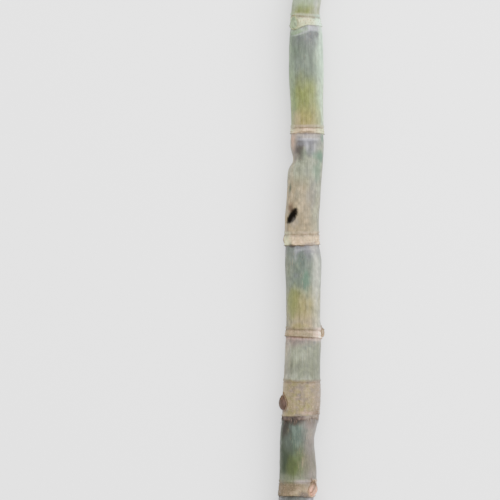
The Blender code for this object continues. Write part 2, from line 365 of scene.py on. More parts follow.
def smooth_curve(points):
    """A function that passes smoothly through the points and never overshoots them."""
    xs, ys = np.array(points).T
    steps = np.diff(xs)
    rises = np.diff(ys) / steps
    before, after = rises[:-1], rises[1:]
    same_way = before * after > 0
    total = np.where(same_way, before + after, 1.0)
    inner = np.where(same_way, 2 * before * after / total, 0.0)
    slopes = np.concatenate([rises[:1], inner, rises[-1:]])

    def at(x):
        x = np.asarray(x, float)
        i = np.clip(np.searchsorted(xs, x, side="right") - 1, 0, len(steps) - 1)
        t = (x - xs[i]) / steps[i]
        inside = np.clip(t, 0, 1)
        value = (1 + 2 * inside) * (1 - inside) ** 2 * ys[i]
        value += inside * inside * (3 - 2 * inside) * ys[i + 1]
        value += inside * (1 - inside) ** 2 * steps[i] * slopes[i]
        value += inside * inside * (inside - 1) * steps[i] * slopes[i + 1]
        past_end = np.where(t > 1, slopes[i + 1], slopes[i]) * (t - inside) * steps[i]
        return value + past_end

    return at


def ease(t):
    """0 to 1, starting and ending level."""
    t = np.clip(t, 0, 1)
    return t * t * (3 - 2 * t)


def angle_between(a, b):
    """The smaller angle between two directions, in degrees."""
    return np.abs((a - b + 180.0) % 360.0 - 180.0)


def lattice(x, y, z, seed):
    """A repeatable random number from -1 to 1 for each whole-numbered point."""
    mixed = x.astype(np.uint32) * np.uint32(374761393) + y.astype(np.uint32) * np.uint32(668265263)
    mixed += z.astype(np.uint32) * np.uint32(2246822519) + np.uint32(seed * 7919 + 1)
    mixed = (mixed ^ (mixed >> np.uint32(13))) * np.uint32(1274126177)
    mixed = (mixed ^ (mixed >> np.uint32(15))) * np.uint32(2654435761)
    return (mixed >> np.uint32(8)).astype(float) / 2**23 - 1.0


def noise(points, size, seed, octaves=2):
    """Smooth random values from about -1 to 1, with lumps of the given size in millimetres."""
    total = np.zeros(points.shape[:-1])
    scale = np.ones(3) * np.asarray(size, float)
    weight, weights = 1.0, 0.0
    for octave in range(octaves):
        spot = points / scale + 1000.0
        corner = np.floor(spot)
        part = spot - corner
        part = part * part * (3 - 2 * part)
        corner = corner.astype(np.int64)
        value = np.zeros_like(total)
        for dx, dy, dz in np.ndindex(2, 2, 2):
            share = np.abs(1 - dx - part[..., 0]) * np.abs(1 - dy - part[..., 1])
            share = share * np.abs(1 - dz - part[..., 2])
            near = (corner[..., 0] + dx, corner[..., 1] + dy, corner[..., 2] + dz)
            value += share * lattice(*near, seed + 31 * octave)
        total += weight * value
        weights += weight
        weight *= 0.5
        scale = scale * 0.5
    return total / weights * 1.4


girth_at = smooth_curve(GIRTHS)
across_at = smooth_curve(AXIS)


def axis_heights():
    """The axis's height above the floor at each node, carried on in line to both ends."""
    points = [
        (node.height, girth_at(node.height) / 2 + SCAR_RISE + node.clear) for node in NODES
    ]
    (first, low), (last, high) = points[0], points[-1]
    slope = (high - low) / (last - first)
    start, end = AXIS[0][0], AXIS[-1][0]
    return [(start, low + slope * (start - first)), *points, (end, high + slope * (end - last))]


height_at = smooth_curve(axis_heights())


def slope_at(s):
    """How the ring at height s slopes, from left to right and from bottom to top."""
    marks = [(0.0, BASE_CUT)]
    marks += [(node.height + node.band / 2, (node.lean, node.pitch)) for node in NODES]
    marks += [(LENGTH, TOP_CUT)]
    lean, pitch = np.full(s.shape, BASE_CUT[0]), np.full(s.shape, BASE_CUT[1])
    for i, ((low, below), (high, above)) in enumerate(zip(marks, marks[1:])):
        hold = min(SLOPE_HOLD, SLOPE_HOLD_PART * (high - low))
        start = low if i == 0 else low + hold
        end = high if i == len(marks) - 2 else high - hold
        share = ease((s - start) / (end - start))
        here = s >= low
        lean = np.where(here, below[0] + (above[0] - below[0]) * share, lean)
        pitch = np.where(here, below[1] + (above[1] - below[1]) * share, pitch)
    return lean, pitch


def dip_at(s, angle):
    """How far the rings near a leaf scar sag towards the base under the bud."""
    total = np.zeros(np.broadcast(s, angle).shape)
    for node in NODES:
        reach = DIP_REACH + DIP_REACH_SHARE * node.dip
        below = ease((s - node.height + reach) / reach)
        above = ease((node.height + node.band - s) / node.band)
        off = angle_between(angle, node.bud_angle) / DIP_SPREAD
        total = total + node.dip * below * above * np.exp(-off * off)
    return total


def furrow(s, angle):
    """The shallow groove that runs up an internode above its bud."""
    depth = np.zeros(np.broadcast(s, angle).shape)
    for node, upper in zip(NODES, (*NODES[1:], None)):
        start = node.height + node.band + FURROW_START
        end = (upper.height if upper else LENGTH) - FURROW_END
        along = (s - start) / ((end - start) * FURROW_RUN)
        fade = ease(along / FURROW_ONSET) * (1 - ease(along))
        off = angle_between(angle, node.bud_angle) / FURROW_SPREAD
        depth = depth + FURROW_DEPTH * fade * np.exp(-off * off)
    return depth


def dents(s, angle):
    """Depth of the hollows in the sides of two internodes."""
    depth = np.zeros(np.broadcast(s, angle).shape)
    for dent in DENTS:
        along = (s - dent.height) / np.where(s > dent.height, dent.reach_up, dent.reach_down)
        off = angle_between(angle, dent.angle) / dent.spread
        depth = depth + dent.depth * np.exp(-along * along - off * off)
    return depth


def slant(number, angle):
    """How far a scar lies below its usual place, for the one that slants round the stalk."""
    if number != TALL_NODE:
        return np.zeros(np.shape(angle))
    return SLANT * (1 + np.cos(np.radians(angle - SLANT_ANGLE)))


def ridges(s, angle, rag=0.0, lip=1.0):
    """Rise of the scars and growth rings. Rag moves a scar down, and lip scales its rise."""
    scar, ring = np.array(SCAR_PROFILE).T, np.array(RING_PROFILE).T
    end, band_rise = SCAR_PROFILE[-1]
    rise = np.zeros(np.broadcast(s, rag).shape)
    for number, node in enumerate(NODES):
        t = s - node.height
        near_scar = 1 - ease(t / (0.5 * node.band))
        shifted = t + (rag + slant(number, angle)) * near_scar
        rise = rise + lip * np.interp(shifted, *scar)
        upper = np.interp(t - node.band, *ring)
        between = np.where(t < 0.5 * node.band, lip * band_rise, upper)
        rise = rise + np.where(shifted > end, between - lip * band_rise, 0)
    return rise


def radius_at(s, angle, rag=0.0, lip=1.0):
    """The skin's distance from the axis, without root buds and fine relief."""
    turn = np.radians(2 * angle + s * OVAL_TWIST)
    round_part = girth_at(s) / 2 * (1 + OVAL_SHARE * np.cos(turn))
    return round_part + ridges(s, angle, rag, lip) - furrow(s, angle) - dents(s, angle)


def skin(s, angle, lift=0.0, rag=0.0, lip=1.0):
    """Points of the stalk's surface in millimetres, none below the floor."""
    s, angle = np.broadcast_arrays(np.asarray(s, float), np.asarray(angle, float))
    out = radius_at(s, angle, rag, lip) + lift
    right, up = out * np.cos(np.radians(angle)), out * np.sin(np.radians(angle))
    lean, pitch = slope_at(s)
    across = across_at(s) + right - MIDDLE[0]
    along = s - dip_at(s, angle) + lean * right + pitch * up - MIDDLE[1]
    height = np.maximum(height_at(s) + up, 0.0)
    return np.stack(np.broadcast_arrays(across, along, height), axis=-1)


def node_part(s):
    """For each height: 1 in a root band, fading to 0 within a few millimetres of it."""
    part = np.zeros(s.shape)
    for node in NODES:
        part += ease((s - node.height + 1) / 2) * ease((node.height + node.band + 5 - s) / 3)
    return part


def sharpness(points):
    """From 0 to 1: where the edge of a leaf scar is worn smooth, and where it stands out."""
    return ease(0.45 + 0.9 * noise(points, (5, 40, 5), 15))


def scar_part(s, angle):
    """1 on the step of each leaf scar, where the dots of its veins lie, and 0 elsewhere."""
    part = np.zeros(s.shape)
    for number, node in enumerate(NODES):
        t = s - node.height + slant(number, angle)
        part += ease((t + 1.6) / 0.6) * ease((0.7 - t) / 0.6)
    return part


def unevenness(points):
    """How far the edge of a mark runs in or out at each point, as a part of its size."""
    return 0.28 * noise(points, (2.4, 3.4, 2.4), 12, 3) + 0.22 * noise(points, (6, 9, 6), 17)


def near_mark(mark, s, angle, uneven):
    """1 in the middle of a mark, 0 outside it, with a soft and slightly ragged edge."""
    arc = (angle - mark.angle + 180.0) % 360.0 - 180.0
    arc = -np.radians(arc) * girth_at(s) / 2
    tilt = math.radians(mark.tilt)
    long = (s - mark.height) * math.cos(tilt) - arc * math.sin(tilt)
    wide = (s - mark.height) * math.sin(tilt) + arc * math.cos(tilt)
    far = np.hypot(long / mark.long, wide / mark.wide) + uneven
    soft = SHARP_MARK if mark.strength == 1 else SOFT_MARK
    return 1 - ease((far - 1 + soft / 2) / soft)


def mix(a, b, share):
    """Colour a turning into colour b, where share is 1."""
    share = np.clip(share, 0, 1)[..., None]
    return np.asarray(a, float) * (1 - share) + np.asarray(b, float) * share


def linear(colour):
    """The paint that shows as a colour, from 0 to 255, in the bright light of this scene."""
    seen, light = np.array(SHOWN).T
    paint = np.exp(np.interp(colour, seen, np.log(light))) / LIGHT_LEVEL
    return np.minimum(paint, PALEST_PAINT)


def shade_and_light_sides(angle):
    """How far a direction is the left side of the stalk and how far its right, less underneath, for
    painted light and shade.
    """
    across, up = np.cos(np.radians(angle)), np.sin(np.radians(angle))
    seen = 0.3 + 0.7 * ease((up + 0.85) / 0.6)
    return seen * ease((-across - 0.5) / 0.45), seen * ease((across - 0.25) / 0.62)


def internode_colours(s, angle, points):
    """Colour of the rind between nodes: a gradient up each internode with painted light and shade
    across its sides, mottled and streaked.
    """
    colour = np.zeros((*s.shape, 3))
    drift = 0.07 * noise(points, (9, 16, 9), 3)
    mottle = noise(points, (2.6, 3.6, 2.6), 4, 3)
    cloud = ease(0.5 + 0.9 * noise(points, (5, 11, 5), 5, 3))
    left, right = shade_and_light_sides(angle)
    patchy = 0.8 + 0.35 * noise(points, (6, 22, 6), 6)
    starts = [0.0] + [node.height + node.band for node in NODES]
    ends = [node.height for node in NODES] + [LENGTH]
    for kind, start, end in zip(INTERNODES, starts, ends):
        here = (s >= start) & (s <= end + 40)
        t = np.clip((s - start) / (end - start), 0, 1) + drift
        tone = mix(kind.foot, kind.low, ease((t - 0.06) / 0.2))
        tone = mix(tone, kind.high, ease((t - 0.3) / 0.3))
        tone = mix(tone, kind.top, ease((t - 0.72) / 0.22))
        # Painted light and shade on the two sides.
        tone = mix(tone, kind.left, 0.75 * left * patchy)
        tone = mix(tone, kind.right, 0.9 * right * patchy)
        tone = mix(tone, WAX, kind.wax * cloud)
        tone = tone * (1 + 0.12 * kind.mottle * mottle)[..., None]
        colour = np.where(here[..., None], tone, colour)
    return colour


def node_colours(colour, s, angle, points):
    """Root bands, growth rings, scars and the wax below them, with painted light and shade on the
    bands' sides and painted shade in the grooves and under the scars' lips.
    """
    blur = 0.5 * noise(points, 3.0, 7)
    patchy = noise(points, (4, 2.4, 4), 8, 3)
    coming = sharpness(points)
    left, right = shade_and_light_sides(angle)
    for number, (node, joint) in enumerate(zip(NODES, JOINTS)):
        u = s - node.height - node.band + blur
        t = s - node.height + blur + slant(number, angle)
        band_tone = mix(joint.band, PINK, 0.06 + 0.3 * patchy)
        if number == TALL_NODE:
            band_tone = mix(band_tone, STRAW, 0.45 + 0.9 * noise(points, 3.0, 9, 3))
            band_tone = mix(band_tone, MAUVE, 0.9 * noise(points, (5, 4, 5), 10))
        # Painted light and shade on the band's two sides.
        band_tone = mix(band_tone, joint.left, 0.85 * left)
        band_tone = mix(band_tone, joint.right, 0.9 * right)
        band_tone = band_tone * (1 + 0.07 * patchy)[..., None]
        edge = u + 0.35 * node.band * (number != TALL_NODE)
        band_tone = band_tone * (1 - 0.10 * ease(edge / 2.0))[..., None]
        wavy = t + joint.reach + 0.9 * noise(points, 7.0, 16)
        below = ease(wavy / 1.8) * (1 - ease((t + 1.2) / 1.0))
        fading = 1 - 0.5 * np.maximum(left, right) * (number > TALL_NODE)
        colour = mix(colour, joint.below, (0.75 + 0.45 * patchy) * below * fading)
        colour = mix(colour, band_tone, ease((t + 1.0) / 1.0) * (1 - ease((u - 1.2) / 3.0)))
        # Painted shade in the groove at the top of the root band.
        groove = np.exp(-(((u + 0.3) / 0.7) ** 2))
        colour = mix(colour, BARK, (0.2 + 0.4 * coming) * groove)
        # Painted shade in the crevice under the scar's lip, darkest where the lip stands out.
        step = np.exp(-(((t + 1.3) / 0.8) ** 2))
        colour = mix(colour, UMBER, (0.2 + 0.6 * coming) * joint.line * step)
        smut = ease((t + 16) / 7) * (1 - ease((t + 5) / 5)) * ease(patchy * 1.6 - 0.2)
        colour = mix(colour, DUSK, 0.5 * smut)
    return colour


def rind_colours(s, angle, points):
    """The whole colour of the rind at each vertex, as display colours."""
    colour = internode_colours(s, angle, points)
    colour = node_colours(colour, s, angle, points)
    uneven = unevenness(points)
    for mark in MARKS:
        colour = mix(colour, mark.colour, mark.strength * near_mark(mark, s, angle, uneven))
    streak = noise(points, (1.1, 38, 1.1), 13)
    grain = noise(points, (1.3, 2.0, 1.3), 14)
    return colour * (1 + 0.045 * streak + 0.03 * grain)[..., None]


def ring_heights():
    """Heights of the fine mesh's rings, close together at the nodes."""
    heights = [0.0]
    while heights[-1] < LENGTH:
        s = heights[-1]
        gap = min(
            max(node.height - CLOSE_BELOW - s, s - node.height - node.band - CLOSE_ABOVE)
            for node in NODES
        )
        pitch = INTERNODE_PITCH
        if min(gap, abs(s - GOUGE.height) - GOUGE.long) < EDGE_REACH:
            pitch = EDGE_PITCH
        if gap <= 0:
            pitch = NODE_PITCH
        heights.append(min(s + pitch, LENGTH))
    return np.array(heights)


def new_object(name, points, faces, colours, materials, face_materials=None, extra=1.0):
    """A smooth mesh object from millimetre points, with its colours and one more value painted."""
    mesh = bpy.data.meshes.new(name)
    mesh.from_pydata((np.asarray(points) * MM).tolist(), [], faces)
    for material in materials:
        mesh.materials.append(material)
    if face_materials is not None:
        mesh.polygons.foreach_set("material_index", face_materials)
    paint = mesh.attributes.new("rind", "FLOAT_COLOR", "POINT")
    rgba = np.ones((len(points), 4))
    rgba[:, :3] = linear(colours)
    rgba[:, 3] = extra
    paint.data.foreach_set("color", rgba.ravel())
    mesh.shade_smooth()
    mesh.update()
    made = bpy.data.objects.new(name, mesh)
    bpy.context.scene.collection.objects.link(made)
    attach(made, "root")
    return made


def quads(a, b, sides):
    """Quads from the loop of points that starts at number a to the one that starts at b."""
    pairs = [(k, (k + 1) % sides) for k in range(sides)]
    return [(a + k, a + after, b + after, b + k) for k, after in pairs]


def tube_faces(rings, sides, first=0):
    """Quads between rings of points that follow each other along a tube."""
    faces = []
    for a in range(first, first + (rings - 1) * sides, sides):
        faces += quads(a, a + sides, sides)
    return faces


def dome_faces(first, rings, sides):
    """Faces from the top of a dome, which is the first point, down its rings of points."""
    faces = []
    for k in range(sides):
        after = (k + 1) % sides
        faces.append((first, first + 1 + k, first + 1 + after))
        for a in range(first + 1, first + 1 + (rings - 1) * sides, sides):
            b = a + sides
            faces.append((a + k, b + k, b + after, a + after))
    return faces


def relief(s, angle, points):
    """Fine unevenness of the skin: waves on internodes, lumps on the tall root band, one pit."""
    lumpy = node_part(s)
    waves = 0.13 * noise(points, (9, 20, 9), 20) + 0.05 * noise(points, (2.4, 28, 2.4), 21)
    lumps = 0.13 * noise(points, (2.6, 2.0, 2.6), 22, 3)
    tall = NODES[TALL_NODE]
    knobby = ease((s - tall.height) / 2) * ease((tall.height + tall.band - s) / 2)
    lumps = lumps + 0.28 * knobby * noise(points, (4.0, 3.2, 4.0), 23, 3)
    rough = ease((s - ROUGH_ZONE[0]) / 12) * ease((ROUGH_ZONE[1] - s) / 6)
    rough = rough * noise(points, (5.0, 4.0, 5.0), 27, 3)
    bumps = (waves + 0.2 * rough) * (1 - lumpy) + lumps * lumpy
    uneven = unevenness(points)
    inside = near_mark(GOUGE, s, angle, uneven)
    wider = GOUGE._replace(long=GOUGE.long + 1.6, wide=GOUGE.wide + 1.4)
    rim = near_mark(wider, s, angle, uneven)
    return bumps - GOUGE_DEPTH * inside + GOUGE_RIM * (rim - inside)


def cut_colours(ring, share):
    """Colours of one ring of a cut face: dark rind, a pale firm edge, then cream flesh."""
    cloud = noise(ring, 7.0, 28)
    tone = mix(FLESH, FLESH_DARK, 0.35 + 0.6 * cloud)
    tone = mix(tone, FLESH_EDGE, 0.8 * ease((share - 0.84) / 0.12))
    return mix(tone, RIND_EDGE, ease((share - 0.955) / 0.03))


def cut_face(rim, first, count, outward):
    """The cut at one end: its points, colours, shares of the way to the rim, and faces."""
    middle = rim.mean(axis=0)
    clouds, tints, shares, faces = [], [], [], []
    for share in CAP_SHARES:
        ring = middle + (rim - middle) * share
        rough = 0.10 * noise(ring, 1.2, 25) + 0.3 * noise(ring, 9.0, 26, 1)
        saw = 0.06 * np.sin(ring[:, 0] * 1.7 + ring[:, 2] * 2.9)
        ring[:, 1] += outward * (rough + saw) * ease((1 - share) / 0.1)
        clouds.append(ring)
        tints.append(cut_colours(ring, share))
        shares.append(np.full(SIDES, share))
        faces += quads(first, count, SIDES) if outward > 0 else quads(count, first, SIDES)
        first, count = count, count + SIDES
    clouds.append(middle[None, :])
    tints.append(cut_colours(middle[None, :], 0.0))
    shares.append(np.zeros(1))
    for k in range(SIDES):
        pair = (first + k, first + (k + 1) % SIDES)
        faces.append((*pair, count) if outward > 0 else (*pair[::-1], count))
    return np.concatenate(clouds), np.concatenate(tints), np.concatenate(shares), faces


def make_rind(rind, flesh):
    """The skin of the whole stalk with both cut faces, as one closed mesh."""
    heights = ring_heights()
    s, angle = np.meshgrid(heights, np.arange(SIDES) * 360.0 / SIDES, indexing="ij")
    plain = skin(s, angle)
    rag = 0.45 * noise(plain * (1, 0, 1), 5.0, 24, 3)
    points = skin(s, angle, relief(s, angle, plain), rag, 0.45 + 0.6 * sharpness(plain))
    cloud = points.reshape(-1, 3)
    tint = rind_colours(s, angle, plain).reshape(-1, 3)
    extra = scar_part(s, angle).ravel()
    faces = tube_faces(len(heights), SIDES)
    kinds = [0] * len(faces)
    for end, outward in ((0, -1), (len(heights) - 1, 1)):
        cap, tones, shares, more = cut_face(points[end], end * SIDES, len(cloud), outward)
        cloud = np.concatenate([cloud, cap])
        tint = np.concatenate([tint, tones])
        extra = np.concatenate([extra, shares])
        faces += more
        kinds += [1] * len(more)
    made = new_object("cane", cloud, faces, tint, [rind, flesh], kinds, extra)
    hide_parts("stalk")


# A bud: its length and rise for its width, how far its base lies above the scar and its tip may
# pass the root band, what it gives up to the scar's dip, and its middle and widest place.
BUD_LENGTH = 1.25
BUD_RISE = 0.36
BUD_ABOVE_SCAR = 0.5
BUD_PAST_BAND = 4.0
BUD_DIP_SHARE = 0.8
BUD_CORE = 0.42
BUD_WIDEST = 0.4
BUD_TAPER = 0.9

# A bud's points: how many go round it, and its rings as parts of the way to its edge. Those past
# its edge are its wing, and the last three sink into the stalk. BUD_LIFT raises its rim.
BUD_TURNS = 56
BUD_REACH = np.array([*np.linspace(0.05, 1.0, 15), 1.04, 1.12, 1.2, 1.28, 1.34, 1.36, 1.36])[:, None]
BUD_SUNK = ((-0.3,), (-0.9,), (-1.6,))
BUD_LIFT = 0.42
BUD_UNDER = -2.5
BUD_TONES = (BUFF, RUSSET, SAND, SAND, SAND, SPRING)


def bud_outline(share):
    """Half width of a bud from its base to its tip, as a part of its widest place."""
    base = np.sqrt(np.clip(1 - (1 - share / BUD_WIDEST) ** 2, 0, 1))
    past = np.clip((share - BUD_WIDEST) / (1 - BUD_WIDEST), 0, 1)
    return np.where(share < BUD_WIDEST, base, np.cos(past * math.pi / 2) ** BUD_TAPER)


def bud_frame(node):
    """A bud's length, the height of its base, its middle above that, and the skin's radius."""
    longest = node.band + BUD_PAST_BAND
    length = min(node.bud_width * BUD_LENGTH, longest) - node.dip * BUD_DIP_SHARE
    start = node.height + BUD_ABOVE_SCAR + node.bud_lift
    radius = float(radius_at(start + length / 2, node.bud_angle))
    return length, start, BUD_CORE * length, radius


def bud_form(number, node):
    """A bud's points: across, along and out of the skin, share of its length, fold, and its top."""
    width = node.bud_width
    length, _, core, _ = bud_frame(node)
    turns = np.arange(BUD_TURNS) * 2 * math.pi / BUD_TURNS
    share = (1 - np.cos(turns)) / 2
    edge_across = np.sign(np.sin(turns)) * bud_outline(share) * width / 2
    across = BUD_REACH * edge_across
    along = core + BUD_REACH * (share * length - core)
    up_share = np.clip(along / length, -0.2, 1.2)
    dome = width * BUD_RISE * np.sqrt(np.clip(1 - np.minimum(BUD_REACH, 1) ** 2.4, 0, 1))
    dome = dome * (0.8 + 0.2 * np.clip(along / length, 0, 1))
    fold = np.abs(across) / (width / 2) - 1.15 * (0.95 - up_share)
    scale_step = 0.34 * ease(fold / 0.14) * (BUD_REACH < 1)
    pore = 0.5 * np.exp(-((across / 0.7) ** 2) - ((along - 0.84 * length) / 0.8) ** 2)
    frill = 1 + 0.15 * np.sin(turns * 9 + number) + 0.2 * np.sin(turns * 23 + 2 * number)
    wing = 0.12 + 0.56 * ease((up_share - 0.12) / 0.3) * frill
    wing = wing * (1 - ease((BUD_REACH - 1.3) / 0.06))
    out = np.where(BUD_REACH <= 1, dome - scale_step - pore + BUD_LIFT, wing)
    out[-3:] = BUD_SUNK
    return across, along, out, up_share, fold, dome.max() + BUD_LIFT


def bud_colours(number, up_share, fold, points):
    """A bud's colours: darker to its tip and along the edges of its scales, paler on its wing."""
    edge_tone, wing_tone = (LEAF_GREEN, CREAM) if number == TOP_NODE else (UMBER, TAN)
    crease = np.exp(-((fold / 0.12) ** 2)) * (BUD_REACH < 1)
    tone = mix(BUD_TONES[number], edge_tone, 0.65 * ease((up_share - 0.55) / 0.4))
    tone = mix(tone, mix(edge_tone, SOOT, np.array(0.3)), 0.5 * crease)
    tone = mix(tone, wing_tone, 0.6 * (BUD_REACH > 1))
    tone = mix(tone, edge_tone, 0.7 * ease((BUD_REACH - 1.22) / 0.1))
    return tone * (1 + 0.12 * noise(points, (0.8, 3.0, 0.8), 30 + number))[..., None]


def make_bud(number, node, material):
    """A bud with its overlapping scales, its germ pore and the thin wing round its upper part."""
    across, along, out, up_share, fold, top = bud_form(number, node)
    _, start, core, radius = bud_frame(node)
    points = skin(start + along, node.bud_angle + np.degrees(across / radius), out)
    tone = bud_colours(number, up_share, fold, points)
    middle = skin(np.full(2, start + core), node.bud_angle, np.array([top, BUD_UNDER]))
    cloud = np.concatenate([middle[:1], points.reshape(-1, 3), middle[1:]])
    tints = np.concatenate([tone[0, :1], tone.reshape(-1, 3), tone[-1, :1]])
    faces = dome_faces(0, len(BUD_REACH), BUD_TURNS)
    bottom = len(cloud) - 1
    last = bottom - BUD_TURNS
    faces += [(bottom, last + (k + 1) % BUD_TURNS, last + k) for k in range(BUD_TURNS)]
    new_object(f"bud_{number + 1}", cloud, faces, tints, [material])


# A root bud's outline: distance from its middle and rise, as parts of its radius and height.
ROOT_BUD_PROFILE = ((0.0, 0.5), (0.2, 0.58), (0.42, 1.0), (0.72, 0.74), (1.0, 0.14), (1.12, -0.8))
ROOT_BUD_SIDES = 10

# Root buds on a band: spacing round it and up it, first row above the scar, margin and sizes.
ROOT_BUD_PITCH = 3.5
ROOT_BUD_ROW_PITCH = 2.7
ROOT_BUD_FIRST_ROW = 1.9
ROOT_BUD_MARGIN = 2.6
ROOT_BUD_RADIUS = 0.6
ROOT_BUD_HEIGHT = 0.3


def root_bud_spots(node):
    """Heights, angles, radii and rises of a node's root buds, in uneven rows that skip its bud."""
    space = node.band - ROOT_BUD_MARGIN
    rows = max(2, round(space / ROOT_BUD_ROW_PITCH) + 1)
    around = round(math.pi * float(girth_at(node.height)) / ROOT_BUD_PITCH)
    for row in range(rows):
        for k in range(around):
            jitter = np.clip(rng.normal(size=4), -2, 2)
            up = ROOT_BUD_FIRST_ROW + space * row / (rows - 1) * 0.92
            s = node.height + up + 0.3 * jitter[0]
            angle = 360.0 * (k + 0.5 * (row % 2)) / around + 1.9 * jitter[1]
            off = angle_between(angle, node.bud_angle)
            if off * math.pi / 360 * float(girth_at(s)) > node.bud_width * 0.72:
                radius = ROOT_BUD_RADIUS + 0.1 * jitter[2]
                yield s, angle, radius, ROOT_BUD_HEIGHT * (1 + 0.3 * jitter[3])


def make_root_buds(number, node, material):
    """The rows of small root buds on a node's root band, as one object."""
    far, rise = np.repeat(ROOT_BUD_PROFILE, ROOT_BUD_SIDES, axis=0)[ROOT_BUD_SIDES - 1:].T
    turn = (np.arange(len(far)) - 1) % ROOT_BUD_SIDES * 2 * math.pi / ROOT_BUD_SIDES
    spots = np.array(list(root_bud_spots(node)))
    s, angle, radius, height = (column[:, None] for column in spots.T)
    up = s + far * radius * np.sin(turn)
    side = angle + np.degrees(far * radius * 1.12 * np.cos(turn) / (girth_at(node.height) / 2))
    points = skin(up, side, height * rise)
    tone = rind_colours(up, side, skin(up, side))
    tone = mix(tone, CREAM, 0.35 * (far < 0.8))
    tone = mix(tone, RUST, np.where(far < 0.3, 0.6, 0.3 * (far > 0.9)))
    faces = []
    for spot in range(len(points)):
        first, after = len(far) * spot, len(far) * (spot + 1)
        faces += dome_faces(first, len(ROOT_BUD_PROFILE) - 1, ROOT_BUD_SIDES)
        faces.append(tuple(range(after - ROOT_BUD_SIDES, after))[::-1])
    name = f"root_buds_{number + 1}"
    new_object(name, points.reshape(-1, 3), faces, tone.reshape(-1, 3), [material])


STRAND_STEPS = 8
STRAND_ACROSS = 3


def strand(s, angle, width, length, curl, lift, first):
    """A loose dry fibre that hangs from a scar: points, faces and distance along it."""
    steps, across = STRAND_STEPS, STRAND_ACROSS
    t = np.linspace(0, 1, steps)[:, None]
    side = np.linspace(-1, 1, across)[None, :]
    sway = 0.9 * math.sin(7.0 * angle) * t**1.5 + 0.2 * np.sin(6 * t + 3 * angle)
    arc = side * width / 2 * (1 - 0.85 * t**2) + sway
    turn = angle + np.degrees(arc / (float(girth_at(s)) / 2))
    height = s - length * t + 0 * side
    bow = lift + curl * t**2
    outer = skin(height, turn, bow + 0.16 + 0.08 * (side == 0))
    inner = skin(height, turn, bow - 0.06)
    points = np.concatenate([outer.reshape(-1, 3), inner.reshape(-1, 3)])
    n = steps * across
    faces = []
    for r in range(steps - 1):
        for k in range(across - 1):
            a = first + r * across + k
            quad = (a, a + across, a + across + 1, a + 1)
            faces += [quad, tuple(v + n for v in quad[::-1])]
    border = [(0, k) for k in range(across - 1)] + [(r, across - 1) for r in range(steps - 1)]
    border += [(steps - 1, k) for k in range(across - 1, 0, -1)]
    border += [(r, 0) for r in range(steps - 1, 0, -1)]
    index = [first + r * across + k for r, k in border]
    faces += [(b, a, a + n, b + n) for a, b in zip(index, index[1:] + index[:1])]
    return points, faces, np.tile(t, (2, across)).ravel()


# Remains of a leaf sheath: how far they hang, how long their teeth are and how many fibres hang
# loose. They are long at one node only.
LONG_REMAINS = (4.6, 2.6, 70)
SHORT_REMAINS = (0.35, 0.6, 14)
REMAINS_ROWS = 6
REMAINS_COLUMNS = 420


def torn_edge(number, node, reach, fray):
    """The ring of dry leaf sheath left round a scar: points, faces and distance down it."""
    columns = REMAINS_COLUMNS
    angle = np.arange(columns) * 360.0 / columns
    ring = skin(node.height, angle)
    uneven = noise(ring, 7.0, 50 + number) + 0.5 * noise(ring, 2.0, 60 + number)
    teeth = rng.random(columns) ** 2 * (0.5 + 0.5 * np.roll(rng.random(columns), 1))
    length = reach * np.clip(0.6 + 0.5 * uneven, 0.15, 1.4) + fray * teeth
    t = np.linspace(1, 0, REMAINS_ROWS)[:, None]
    line = JOINTS[number].line
    worn = 1.0 if line == 1 else line * (0.4 + 0.8 * sharpness(ring))
    height = node.height - slant(number, angle) - 0.35 - length * worn * t
    turn = angle + 1.2 * t * noise(ring, 3.0, 70 + number)
    ripple = 0.3 * noise(ring, 1.6, 80 + number, 3) + 0.2 * noise(ring, 6.0, 85 + number)
    bow = 0.12 + (0.18 + ripple) * t
    outer = skin(height, turn, bow + 0.1)
    inner = skin(height[::-1], turn[::-1], bow[::-1] - 0.12)
    outer[-1] = skin(height[-1], turn[-1], -0.3)
    inner[0] = skin(height[-1], turn[-1], -0.5)
    points = np.concatenate([outer, inner]).reshape(-1, 3)
    faces = tube_faces(2 * REMAINS_ROWS, columns)
    faces += quads((2 * REMAINS_ROWS - 1) * columns, 0, columns)
    age = np.concatenate([t, t[::-1]]) * np.ones(columns)
    return points, faces, age.ravel()


def make_remains(number, node, material, reach, fray, strands):
    """Dry remains of the leaf sheath round a scar: a torn edge and a few loose fibres."""
    points, faces, age = torn_edge(number, node, reach, fray)
    clouds, ages, total = [points], [age], len(points)
    for _ in range(strands):
        draw = rng.random(6)
        length = (reach + fray) * (0.5 + 0.9 * draw[0] ** 2)
        width = 0.3 + 0.5 * draw[1]
        angle = 360 * draw[2]
        top = node.height - 0.5 - float(slant(number, angle))
        curl = 1.1 * draw[3] ** 2 * (reach > 2) - 0.05
        fibre, quads, far = strand(top, angle, width, length, curl, 0.1 + 0.3 * draw[4], total)
        clouds.append(fibre)
        ages.append(far)
        faces += quads
        total += len(fibre)
    cloud, far = np.concatenate(clouds), np.concatenate(ages)
    # Painted light and shade: the remains are darker on the left of the stalk and paler on its
    # right.
    lit_rightward = ease(0.5 + cloud[:, 0] / 24.0)
    dark, light, aged = (MAUVE, SHELL, 0.3) if number == TALL_NODE else (TAN, DUST, 0.12)
    tone = mix(dark, PLUM, 0.5 - 0.5 * lit_rightward + 0.8 * noise(cloud, 3.0, 40 + number, 3))
    tone = mix(tone, light, 0.9 * ease((lit_rightward - 0.45) / 0.4))
    tone = mix(tone, BARK, 0.5 * ease(noise(cloud, (0.8, 5, 0.8), 90 + number) - 0.1))
    tone = mix(tone, UMBER, aged * far)
    new_object(f"sheath_remains_{number + 1}", cloud, faces, tone, [material])


# The hairs on each bud: how many, how thick, and where their rings lie and taper.
HAIRS = 70
HAIR_RADIUS = 0.05
HAIR_RINGS = ((0.0, 1.0), (0.55, 0.7))
HAIR_TURNS = (0.0, 2.1, 4.2)
HAIR_ROOT = 1.24


